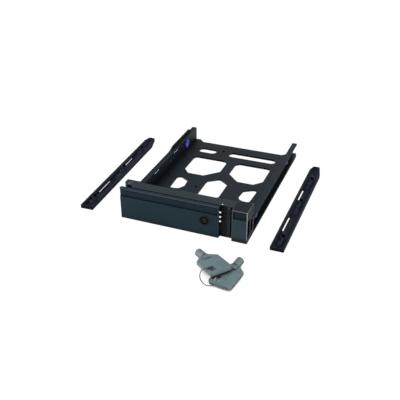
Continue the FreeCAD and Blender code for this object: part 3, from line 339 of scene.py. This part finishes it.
@dataclass(frozen=True)
class MouldedPlastic:
    """Injection moulded plastic with a spark-eroded grain, with painted shade in its hollows and a painted
    highlight on its edges.
    """

    name: str
    colour: Colour
    roughness: float = 0.5
    grain: float = 0.00003
    grain_scale: float = 2600.0
    mottle: float = 0.16
    specular: float = 0.3
    # The edge gain sets how bright the painted highlight on the edges is, and the recess gain how dark the
    # painted shade in hollows is.
    edge_highlight_gain: float = 2.0
    painted_shade_gain: float = 0.4
    patches: tuple[Patch, ...] = ()
    glints: tuple[Patch, ...] = ()
    flow_scale: float = 38.0
    flow_stretch: Point = (1.0, 0.45, 1.0)
    haze_scale: float = 240.0
    haze_roughness: float = 0.14
    grain_roughness: float = 0.08
    shade_reach: float = 0.012
    shade_fade: tuple[float, float] = (0.35, 0.92)
    lip_width: float = 0.0006
    lip_in_shade: float = 0.45

    def build(self) -> bpy.types.Material:
        """Make the material."""
        graph = Graph(self.name)
        flow = graph.noise(self.flow_scale, 3.0, self.flow_stretch)
        haze = graph.noise(self.haze_scale, 4.0)
        grain = graph.noise(self.grain_scale, 2.0)
        dark = tuple(c * (1.0 - self.mottle) for c in self.colour)
        light = tuple(min(1.0, c * (1.0 + self.mottle) + 0.002) for c in self.colour)
        shade = (0.65 * flow + 0.35 * haze).ramp(0.36, 0.64)
        base = graph.mix(shade, dark, light)
        for patch in self.patches:
            base = patch.over(graph, base)
        # Painted shade: slots, corners and recesses are darkened by how closed in they are.
        painted_shade = tuple(c * self.painted_shade_gain for c in self.colour)
        open_part = graph.openness(self.shade_reach).ramp(*self.shade_fade)
        base = graph.mix(open_part, painted_shade, base)
        # Painted highlight: edges and rounds are lightened towards a pale grey, more weakly in the painted
        # shade, and the glints brighten it further.
        edge_highlight = self.edge_highlight()
        for glint in self.glints:
            edge_highlight = glint.over(graph, edge_highlight)
        lips = graph.edges(self.lip_width).most(graph.rounds())
        graph.feed("Base Color", graph.mix(lips * open_part.most(self.lip_in_shade), base, edge_highlight))
        graph.feed("Roughness", self.roughness + self.haze_roughness * (haze - 0.5)
                   + self.grain_roughness * (grain - 0.5))
        graph.bump(0.8 * grain + 0.2 * haze, self.grain)
        graph.feed("Specular IOR Level", self.specular)
        graph.feed("IOR", 1.5)
        return graph.material

    def edge_highlight(self) -> Colour:
        """Colour of the painted highlight on edges and rounds, paler and greyer than the faces."""
        pale = sum(self.colour) / len(self.colour)
        return tuple(min(1.0, 0.5 * (c + pale) * self.edge_highlight_gain + 0.01) for c in self.colour)


@dataclass(frozen=True)
class SoftRubber:
    """Matt blue silicone rubber, with a painted highlight on its rolled lips and painted shade towards the
    flange's rim.
    """

    name: str
    colour: Colour
    rim: Colour
    centres: tuple[Point, ...]
    core: float = 0.0038
    core_fade: float = 0.0007
    roughness: float = 0.42
    cloud_scale: float = 420.0
    dust_scale: float = 3200.0
    lip_share: float = 0.35

    def build(self) -> bpy.types.Material:
        """Make the material."""
        graph = Graph(self.name)
        cloud = graph.noise(self.cloud_scale, 3.0)
        dust = graph.noise(self.dust_scale, 2.0)
        light = tuple(min(1.0, c * 1.35 + 0.01) for c in self.colour)
        # Painted highlight: the rolled lips are made paler.
        pale = tuple(0.5 * c + 0.3 for c in self.colour)
        base = graph.mix(cloud.ramp(0.3, 0.7), self.colour, light)
        base = graph.mix(self.lip_share * graph.rounds(), base, pale)
        # Painted shade: the flange darkens to the rim colour beyond the core radius round each bush's centre.
        near = graph.distance(self.centres[0])
        for centre in self.centres[1:]:
            near = near.least(graph.distance(centre))
        graph.feed("Base Color", graph.mix(near.ramp(self.core, self.core + self.core_fade), base, self.rim))
        graph.feed("Roughness", self.roughness + 0.15 * (dust - 0.5))
        graph.bump(0.5 * dust + 0.5 * cloud, 0.00002)
        graph.feed("Specular IOR Level", 0.4)
        return graph.material


@dataclass(frozen=True)
class LightGuide:
    """Smoked plastic of a light guide, whose clear tips are painted near white and given a glow as painted
    light.
    """

    name: str
    front: float
    top: float
    colour: Colour = (0.012, 0.015, 0.02)
    tip: Colour = (0.82, 0.86, 0.88)
    bright_tip: Colour = (0.93, 0.95, 0.96)
    glow: float = 0.35
    streak_scale: float = 900.0

    def build(self) -> bpy.types.Material:
        """Make the material."""
        graph = Graph(self.name)
        streak = graph.noise(self.streak_scale, 2.0)
        tips = (graph.along("Y") < self.front) + (graph.along("Z") > self.top)
        # Painted highlight: the tips are near white.
        clear = graph.mix(streak.ramp(0.3, 0.7), self.tip, self.bright_tip)
        graph.feed("Base Color", graph.mix(tips, self.colour, clear))
        graph.feed("Roughness", 0.1 + 0.1 * streak)
        # Painted light: the tips glow, though nothing lights the guide.
        glow = graph.mix(streak, (0.8, 0.85, 0.9), (1.0, 1.0, 1.0))
        graph.feed("Emission Color", graph.mix(tips, (0.0, 0.0, 0.0), glow))
        graph.feed("Emission Strength", self.glow)
        graph.bump(streak, 0.00001)
        return graph.material


@dataclass(frozen=True)
class WorkedSteel:
    """Drawn or turned steel with fine lines round or along the piece."""

    name: str
    colour: Colour
    roughness: float = 0.32
    lines: Point = (1.0, 1.0, 14.0)
    line_scale: float = 1500.0
    tint_scale: float = 160.0

    def build(self) -> bpy.types.Material:
        """Make the material."""
        graph = Graph(self.name)
        lines = graph.noise(self.line_scale, 3.0, self.lines)
        tint = graph.noise(self.tint_scale, 2.0)
        dark = tuple(c * 0.72 for c in self.colour)
        graph.feed("Base Color", graph.mix(0.6 * lines + 0.4 * tint, dark, self.colour))
        graph.feed("Metallic", 1.0)
        graph.feed("Roughness", self.roughness + 0.2 * (lines - 0.5))
        graph.bump(lines, 0.00001)
        return graph.material


# ---------------------------------------------------------------- meshes
class Part:
    """Base of the sub-assemblies: dressing of nodes and adding of meshes."""

    body: str = "tray"

    @staticmethod
    def copied(node: str) -> bmesh.types.BMesh:
        """A welded copy of a CAD node's mesh, for a piece that replaces it.

        Args:
            node: the node's name.

        Returns:
            The copy.
        """
        mesh = bmesh.new()
        mesh.from_mesh(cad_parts[node].data)
        mesh.transform(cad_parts[node].matrix_world)
        bmesh.ops.remove_doubles(mesh, verts=mesh.verts, dist=WELD)
        return mesh

    @staticmethod
    def dress(node: str, material: bpy.types.Material) -> None:
        """Give a CAD node one material.

        Args:
            node: the node's name.
            material: the material.
        """
        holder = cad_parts[node]
        if not holder.material_slots:
            holder.data.materials.append(material)
        for slot in holder.material_slots:
            slot.material = material

    def add(self, name: str, mesh: bmesh.types.BMesh, material: bpy.types.Material, slot: str,
            replaces: Sequence[str] = ()) -> bpy.types.Object:
        """Link a mesh as a piece that rides on this sub-assembly's body.

        Args:
            name: name of the piece.
            mesh: mesh in metres, which is freed.
            material: its material.
            slot: the record's material slot that it stands for; not used.
            replaces: CAD nodes that it replaces.

        Returns:
            The new object.
        """
        data = bpy.data.meshes.new(name)
        bmesh.ops.recalc_face_normals(mesh, faces=mesh.faces)
        mesh.to_mesh(data)
        mesh.free()
        data.materials.append(material)
        data.polygons.foreach_set("use_smooth", [True] * len(data.polygons))
        data.set_sharp_from_angle(angle=SHARP_ANGLE)
        piece = bpy.data.objects.new(name, data)
        bpy.context.scene.collection.objects.link(piece)
        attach(piece, self.body)
        if replaces:
            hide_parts(*replaces)
        LOG.info("%s: %d faces", name, len(data.polygons))
        return piece


def lathe(profile: Sequence[tuple[float, float]], steps: int) -> bmesh.types.BMesh:
    """Turn a closed profile of (radius, height) about Z.

    Args:
        profile: corners of the closed profile, in metres.
        steps: facets round the axis.

    Returns:
        The turned mesh.
    """
    mesh = bmesh.new()
    rings = []
    for step in range(steps):
        angle = math.tau * step / steps
        rings.append([mesh.verts.new((r * math.cos(angle), r * math.sin(angle), h)) for r, h in profile])
    count = len(profile)
    for step in range(steps):
        here, there = rings[step], rings[(step + 1) % steps]
        for i in range(count):
            j = (i + 1) % count
            mesh.faces.new((here[i], here[j], there[j], there[i]))
    return mesh


def rounded(profile: Sequence[tuple[float, float]], radius: float, steps: int = 4,
            share: float = 0.45) -> list[tuple[float, float]]:
    """Round the corners of a closed profile.

    Args:
        profile: corners.
        radius: radius that is used where the sides are long enough.
        steps: points on each corner.
        share: largest part of a side that one of its corners takes.

    Returns:
        The rounded profile.
    """
    result = []
    count = len(profile)
    for i in range(count):
        before, here, after = (Vector(profile[(i + k) % count]) for k in (-1, 0, 1))
        to_before, to_after = before - here, after - here
        reach = min(radius, share * to_before.length, share * to_after.length)
        start = here + to_before.normalized() * reach
        end = here + to_after.normalized() * reach
        for k in range(steps + 1):
            t = k / steps
            point = start * (1 - t) ** 2 + here * 2 * t * (1 - t) + end * t ** 2
            result.append((point.x, point.y))
    return result


def tube(path: Sequence[tuple[Vector, Vector, Vector]], radius: float, sides: int = 10) -> bmesh.types.BMesh:
    """A closed round wire along a path.

    Args:
        path: centre of each ring with the two directions that it lies in.
        radius: radius of the wire, in metres.
        sides: facets round the wire.

    Returns:
        The wire's mesh.
    """
    mesh = bmesh.new()
    angles = [math.tau * k / sides for k in range(sides)]
    rings = []
    for place, out, up in path:
        spokes = [out * math.cos(angle) + up * math.sin(angle) for angle in angles]
        rings.append([mesh.verts.new(place + radius * spoke) for spoke in spokes])
    for here, there in zip(rings, rings[1:]):
        for k in range(sides):
            j = (k + 1) % sides
            mesh.faces.new((here[k], here[j], there[j], there[k]))
    mesh.faces.new(rings[0])
    mesh.faces.new(rings[-1])
    return mesh


# ---------------------------------------------------------------- sub-assemblies
class Side(Enum):
    """Side of the tray, with the sign of its X direction."""

    LEFT = -1
    RIGHT = 1


@dataclass
class Palette:
    """All finishes of the tray, built once."""

    band_drop: float = 0.0078
    band_margin: float = 0.0004
    band_depth: tuple[float, float] = (0.0006, 0.0018)
    wall_set_back: float = 0.0042
    wall_skin: float = 0.0004
    block_width: float = 0.013
    face_skin: float = 0.0003
    corner_width: float = 0.0009
    tip_depth: float = 0.0004
    tip_height: float = 0.0005
    tray: bpy.types.Material = field(init=False)
    bezel: bpy.types.Material = field(init=False)
    handle: bpy.types.Material = field(init=False)
    latch: bpy.types.Material = field(init=False)
    strip: bpy.types.Material = field(init=False)
    rubber: bpy.types.Material = field(init=False)
    clear: bpy.types.Material = field(init=False)
    steel: bpy.types.Material = field(init=False)
    pin: bpy.types.Material = field(init=False)
    black_steel: bpy.types.Material = field(init=False)
    lock: bpy.types.Material = field(init=False)
    key: bpy.types.Material = field(init=False)
    key_metal: bpy.types.Material = field(init=False)
    wire: bpy.types.Material = field(init=False)

    def __post_init__(self) -> None:
        """Build every finish."""
        self.front_finishes()
        self.tray_finishes()
        self.metal_finishes()
        self.key_finishes()

    def front_finishes(self) -> None:
        """Finishes of the bezel, the handle and the latch, with the regions that differ: a darker band, and
        painted shade and light on the bezel.
        """
        low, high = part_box("handle_lever")
        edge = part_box("front_bezel")[1]
        front, top = low[1], high[2]
        block = edge[0] - self.block_width
        wall = front + self.wall_set_back
        near, far = self.band_depth
        band = Patch((-WIDE, front + near, top - self.band_drop), (WIDE, front + far, top - self.band_margin),
                     (0.5, 0.6, 0.78))
        # Painted shade: the recessed wall beside the handle is made near black.
        recess = Patch((-WIDE, wall, -WIDE), (WIDE, wall + self.wall_skin, WIDE), (0.08, 0.1, 0.14))
        # Painted shade: the top of the block beside the handle is darkened.
        lid = Patch((block, -WIDE, edge[2] - self.face_skin), (WIDE, WIDE, WIDE), (0.1, 0.15, 0.25))
        # Painted light: the front face of the block is lightened.
        cheek = Patch((block, -WIDE, -WIDE), (WIDE, front + self.face_skin, WIDE), (1.55, 1.65, 1.7))
        # Painted highlight: the block's right edges and corner are brightened.
        corner = Patch((edge[0] - self.corner_width, -WIDE, -WIDE), (WIDE, WIDE, WIDE), (3.6, 3.0, 2.8))
        satin = {"roughness": 0.44, "grain": 0.00003, "mottle": 0.08}
        self.bezel = MouldedPlastic("bezel_plastic", (0.026, 0.048, 0.06), edge_highlight_gain=6.0, painted_shade_gain=0.12,
                                    patches=(band, recess, lid, cheek), glints=(corner,), **satin).build()
        self.handle = MouldedPlastic("handle_plastic", (0.01, 0.04, 0.06), edge_highlight_gain=2.8, patches=(band,),
                                     **satin).build()
        # Strong painted highlight on the latch's edges.
        self.latch = MouldedPlastic("latch_plastic", (0.008, 0.018, 0.026), edge_highlight_gain=18.0, **satin).build()

    def tray_finishes(self) -> None:
        """Finishes of the tray, the strips, the bushes and the light guide."""
        self.tray = MouldedPlastic("tray_plastic", (0.007, 0.018, 0.03), 0.46, 0.00004, edge_highlight_gain=6.0,
                                   specular=0.26, painted_shade_gain=0.12).build()
        self.strip = MouldedPlastic("strip_plastic", (0.002, 0.007, 0.021), 0.42, 0.00004, edge_highlight_gain=5.0,
                                    specular=0.14).build()
        centres = []
        for side in Side:
            for place in ("front", "rear"):
                low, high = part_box("grommet_%s_%s" % (place, side.name.lower()))
                centres.append(tuple((a + b) / 2 for a, b in zip(low, high)))
        self.rubber = SoftRubber("blue_rubber", (0.2, 0.27, 1.0), (0.015, 0.02, 0.33), tuple(centres)).build()
        low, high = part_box("light_guide")
        self.clear = LightGuide("clear_plastic", low[1] + self.tip_depth, high[2] - self.tip_height).build()

    def metal_finishes(self) -> None:
        """Finishes of the pin, the springs, the screws and the lock."""
        self.steel = WorkedSteel("bright_steel", (0.62, 0.63, 0.64)).build()
        self.pin = WorkedSteel("pin_steel", (0.2, 0.205, 0.215), 0.28).build()
        self.black_steel = WorkedSteel("black_steel", (0.05, 0.052, 0.06), 0.4).build()
        self.lock = MouldedPlastic("lock_black", (0.008, 0.01, 0.014), 0.3, 0.00001).build()

    def key_finishes(self) -> None:
        """Finishes of the keys and their ring."""
        self.key = MouldedPlastic("key_plastic", (0.23, 0.325, 0.345), 0.5, 0.00006, 1500.0, 0.14,
                                  edge_highlight_gain=1.5, painted_shade_gain=0.3).build()
        self.key_metal = MouldedPlastic("key_barrel_grey", (0.25, 0.33, 0.34), 0.38, 0.00003, edge_highlight_gain=1.4,
                                        painted_shade_gain=0.4).build()
        self.wire = WorkedSteel("ring_wire", (0.16, 0.17, 0.18), 0.35).build()


@dataclass
class Mouldings(Part):
    """Tray, bezel, handle and latch: moulded nodes that keep their shape."""

    palette: Palette

    def build(self) -> None:
        """Dress the moulded nodes."""
        self.dress("tray_frame", self.palette.tray)
        self.dress("front_bezel", self.palette.bezel)
        self.dress("handle_lever", self.palette.handle)
        self.dress("release_latch", self.palette.latch)
        LOG.info("mouldings dressed")


@dataclass
class Strips(Part):
    """The two fastening strips, with the thin floor that lets light through their slots."""

    palette: Palette
    sink: float = 0.0013
    floor: float = 0.001
    level: float = 0.00002

    def build(self) -> None:
        """Build both strips and dress their studs."""
        for side in Side:
            node = "fastening_panel_" + side.name.lower()
            mesh = self.copied(node)
            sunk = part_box(node)[1][2] - self.sink
            for vert in mesh.verts:
                if abs(vert.co.z - sunk) < self.level:
                    vert.co.z = self.floor
            self.add("strip_" + side.name.lower(), mesh, self.palette.strip, "tray_plastic", (node,))
            self.dress("fastening_studs_" + side.name.lower(), self.palette.black_steel)


@dataclass
class SmallParts(Part):
    """Pin, screws, lock, cam and light guide."""

    palette: Palette

    def build(self) -> None:
        """Dress the small nodes."""
        self.dress("lock_cam", self.palette.steel)
        self.dress("hinge_pin", self.palette.pin)
        for node in ("bezel_screws", "cam_screw"):
            self.dress(node, self.palette.black_steel)
        for node in ("lock_housing", "lock_core", "lock_nut"):
            self.dress(node, self.palette.lock)
        self.dress("light_guide", self.palette.clear)
        LOG.info("small parts dressed")


@dataclass
class Springs(Part):
    """The latch's pressure coil and the coil round the handle's pin, with closed ends."""

    palette: Palette
    turns: float = 4.0
    end_turns: float = 0.75
    end_pitch: float = 2.1
    steps: int = 28
    latch_wire: float = 0.00035
    handle_wire: float = 0.0004
    latch_travel: float = 0.0015

    def build(self) -> None:
        """Wind both springs in the boxes of their nodes."""
        piece = self.wind("latch_spring", 0, self.latch_wire)
        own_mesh(piece)
        self.wind("handle_spring", 2, self.handle_wire)

    def wind(self, node: str, axis: int, wire: float) -> bpy.types.Object:
        """Wind one coil.

        Args:
            node: the node that it replaces.
            axis: number of the axis that it stands on.
            wire: radius of its wire, in metres.

        Returns:
            The coil.
        """
        low, high = (Vector(corner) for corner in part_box(node))
        along, side = Vector(), Vector()
        along[axis], side[(axis + 1) % 3] = 1.0, 1.0
        lift = along.cross(side)
        radius = (high[(axis + 1) % 3] - low[(axis + 1) % 3]) / 2 - wire
        start = (low + high) / 2 - along * ((high[axis] - low[axis]) / 2 - wire)
        length = high[axis] - low[axis] - 2 * wire
        closed = self.end_turns * self.end_pitch * wire
        path = []
        for step in range(int(self.turns * self.steps) + 1):
            turn = step / self.steps
            if turn < self.end_turns:
                rise = closed * turn / self.end_turns
            elif turn > self.turns - self.end_turns:
                rise = length - closed * (self.turns - turn) / self.end_turns
            else:
                share = (turn - self.end_turns) / (self.turns - 2 * self.end_turns)
                rise = closed + (length - 2 * closed) * share
            out = side * math.cos(math.tau * turn) + lift * math.sin(math.tau * turn)
            path.append((start + out * radius + along * rise, out, along))
        return self.add(node + "_coil", tube(path, wire), self.palette.steel, "steel", (node,))


@dataclass
class Grommets(Part):
    """Soft bushes in the side walls, with rolled lips."""

    palette: Palette
    bore: float = 0.0016
    neck: float = 0.00398
    flange: float = 0.0048
    inner_flange: float = 0.0056
    wall: float = 0.0012
    inner: float = 0.00035
    outer: float = 0.0007
    lip_round: float = 0.0003
    steps: int = 72

    def build(self) -> None:
        """Build the four bushes in the boxes of their nodes."""
        for side in Side:
            for place in ("front", "rear"):
                self.bush(side, place)

    def bush(self, side: Side, place: str) -> None:
        """Build one bush.

        Args:
            side: side of the tray.
            place: front or rear.
        """
        node = "grommet_%s_%s" % (place, side.name.lower())
        low, high = (Vector(corner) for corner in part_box(node))
        centre = (low + high) / 2
        start = low.x if side is Side.RIGHT else high.x
        profile = rounded([
            (self.bore, -self.inner),
            (self.inner_flange, -self.inner),
            (self.inner_flange, 0.0),
            (self.neck, 0.0),
            (self.neck, self.wall),
            (self.flange, self.wall),
            (self.flange, self.wall + self.outer),
            (self.bore, self.wall + self.outer),
        ], self.lip_round)
        mesh = lathe(profile, self.steps)
        turn = Matrix.Rotation(math.radians(90 * side.value), 4, "Y")
        shift = Matrix.Translation((start + side.value * self.inner, centre.y, centre.z))
        bmesh.ops.transform(mesh, matrix=shift @ turn, verts=mesh.verts)
        self.add(node + "_soft", mesh, self.palette.rubber, "blue_rubber", (node,))


@dataclass
class Keys(Part):
    """Two tubular keys on a split ring of two turns of wire."""

    palette: Palette
    ring_radius: float = 0.0068
    ring_shift: Point = (0.00235, 0.00128, -0.00094)
    ring_axis: Point = (0.512, -0.347, 0.786)
    wire_radius: float = 0.00027
    turn_pitch: float = 0.00046
    turns: int = 2
    first_turn: float = 0.1
    crossing: float = 8.0
    steps: int = 72

    def build(self) -> None:
        """Dress the keys and build the ring."""
        for which in ("one", "two"):
            self.dress("key_%s_bow" % which, self.palette.key)
            self.dress("key_%s_barrel" % which, self.palette.key_metal)
        self.split_ring()

    def split_ring(self) -> None:
        """Wind the ring's wire twice round, one turn beside the other."""
        low, high = (Vector(corner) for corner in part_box("key_ring"))
        centre = (low + high) / 2 + Vector(self.ring_shift)
        axis = Vector(self.ring_axis).normalized()
        side = axis.cross(Vector((0.0, 0.0, 1.0))).normalized()
        lift = axis.cross(side)
        path = []
        for step in range(self.turns * self.steps):
            turn = step / self.steps
            across = self.turn_pitch / 2 * math.tanh(self.crossing * (turn - self.turns / 2))
            angle = math.tau * (turn + self.first_turn)
            out = side * math.cos(angle) + lift * math.sin(angle)
            path.append((centre + out * self.ring_radius + axis * across, out, axis))
        mesh = tube(path, self.wire_radius)
        self.add("split_ring", mesh, self.palette.wire, "ring_wire", ("key_ring",))


# ---------------------------------------------------------------- studio
@dataclass(frozen=True)
class Lamp:
    """A square soft lamp that faces the tray."""

    name: str
    place: Point
    size: float
    power: float
    aim: Point = (0.0, 0.03, 0.0)

    def build(self) -> None:
        """Hang the lamp."""
        data = bpy.data.lights.new(self.name, "AREA")
        data.shape = "SQUARE"
        data.size = self.size
        data.energy = self.power
        lamp = bpy.data.objects.new(self.name, data)
        lamp.location = self.place
        facing = Vector(self.aim) - Vector(self.place)
        lamp.rotation_euler = facing.to_track_quat("-Z", "Y").to_euler()
        bpy.context.scene.collection.objects.link(lamp)


@dataclass
class Studio:
    """White room, soft lamps and the camera."""

    floor_size: float = 8.0
    floor_drop: float = 0.0002
    floor_white: float = 0.95
    floor_roughness: float = 0.9
    floor_glow: float = 1.05
    glow_share: float = 0.95
    shade_reach: float = 0.014
    shade_fade: tuple[float, float] = (0.15, 0.5)
    eye: Point = (0.17330, -0.42126, 0.29400)
    azimuth: float = 21.285
    elevation: float = 31.06
    roll: float = -0.07
    lens: float = 57.3
    sensor: float = 36.0
    nearest: float = 0.01
    world_level: float = 0.45
    lamps: tuple[Lamp, ...] = (
        Lamp("key_lamp", (-0.9, -0.7, 1.5), size=1.2, power=9.0),
        Lamp("fill_lamp", (1.3, -0.9, 1.1), size=1.4, power=2.5),
        Lamp("back_lamp", (0.2, 1.5, 1.2), size=1.4, power=2.5),
    )

    def build(self) -> None:
        """Set up everything around the tray."""
        scene = bpy.context.scene
        scene.view_settings.view_transform = "Standard"
        self.world()
        self.floor()
        for lamp in self.lamps:
            lamp.build()
        self.camera()

    def world(self) -> None:
        """An even white world, which is pure white to the camera."""
        world = bpy.data.worlds.new("room")
        bpy.context.scene.world = world
        world.use_nodes = True
        nodes = Nodes(world.node_tree)
        plain = nodes.node("ShaderNodeBackground", {}, {"Strength": self.world_level})
        seen = nodes.node("ShaderNodeBackground", {}, {"Color": (1.0, 1.0, 1.0, 1.0)})
        ray = nodes.node("ShaderNodeLightPath", {}, {}, "Is Camera Ray")
        both = nodes.node("ShaderNodeMixShader", {}, {0: ray, 1: plain, 2: seen})
        nodes.add("ShaderNodeOutputWorld", {}, {"Surface": both})

    def floor(self) -> None:
        """A white floor, shaded only under the keys."""
        mesh = bmesh.new()
        bmesh.ops.create_grid(mesh, x_segments=2, y_segments=2, size=self.floor_size / 2)
        bmesh.ops.translate(mesh, verts=mesh.verts, vec=(0.0, 0.0, -self.floor_drop))
        data = bpy.data.meshes.new("floor")
        mesh.to_mesh(data)
        mesh.free()
        floor = bpy.data.objects.new("floor", data)
        bpy.context.scene.collection.objects.link(floor)
        graph = Graph("floor_white")
        graph.feed("Base Color", (self.floor_white,) * 3)
        graph.feed("Roughness", self.floor_roughness)
        glow = graph.node("ShaderNodeEmission", {}, {"Strength": self.floor_glow})
        seen = graph.node("ShaderNodeLightPath", {}, {}, "Is Camera Ray")
        part = (1.0 - self.shade(graph)) * seen * self.glow_share
        graph.show(graph.node("ShaderNodeMixShader", {}, {0: part, 1: graph.plain(), 2: glow}))
        data.materials.append(graph.material)

    def shade(self, graph: Graph) -> Wire:
        """1 on the floor close under the keys, and 0 on the rest of it.

        Args:
            graph: the floor's graph.

        Returns:
            The mask.
        """
        boxes = [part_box("key_%s_bow" % which) for which in ("one", "two")]
        low = tuple(min(box[0][i] for box in boxes) for i in range(2))
        high = tuple(max(box[1][i] for box in boxes) for i in range(2))
        under = Patch((*low, -WIDE), (*high, WIDE)).mask(graph)
        return under * (1.0 - graph.openness(self.shade_reach).ramp(*self.shade_fade))

    def camera(self) -> None:
        """The camera, in front of the tray to its right."""
        data = bpy.data.cameras.new("camera")
        data.lens = self.lens
        data.sensor_width = self.sensor
        data.clip_start = self.nearest
        camera = bpy.data.objects.new("camera", data)
        turn, dip = math.radians(self.azimuth), math.radians(self.elevation)
        forward = Vector((-math.sin(turn) * math.cos(dip), math.cos(turn) * math.cos(dip), -math.sin(dip)))
        facing = forward.to_track_quat("-Z", "Y").to_matrix().to_4x4()
        roll = Matrix.Rotation(math.radians(self.roll), 4, "Z")
        camera.matrix_world = Matrix.Translation(self.eye) @ facing @ roll
        bpy.context.scene.collection.objects.link(camera)
        bpy.context.scene.camera = camera


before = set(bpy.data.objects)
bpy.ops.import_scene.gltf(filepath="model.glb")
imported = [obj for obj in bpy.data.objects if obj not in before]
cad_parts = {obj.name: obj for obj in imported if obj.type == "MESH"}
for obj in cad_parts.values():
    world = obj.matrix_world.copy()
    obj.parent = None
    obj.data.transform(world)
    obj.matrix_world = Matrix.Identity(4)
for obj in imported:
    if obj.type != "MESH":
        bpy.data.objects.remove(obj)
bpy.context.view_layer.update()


def main() -> None:
    """Build the finishes, the sub-assemblies and the studio."""
    logging.basicConfig(level=logging.INFO, format="%(message)s")
    palette = Palette()
    for part in (Mouldings(palette), Strips(palette), SmallParts(palette), Springs(palette),
                 Grommets(palette), Keys(palette)):
        part.build()
        LOG.info("%s done", type(part).__name__)
    Studio().build()


if __name__ == "__main__":
    main()
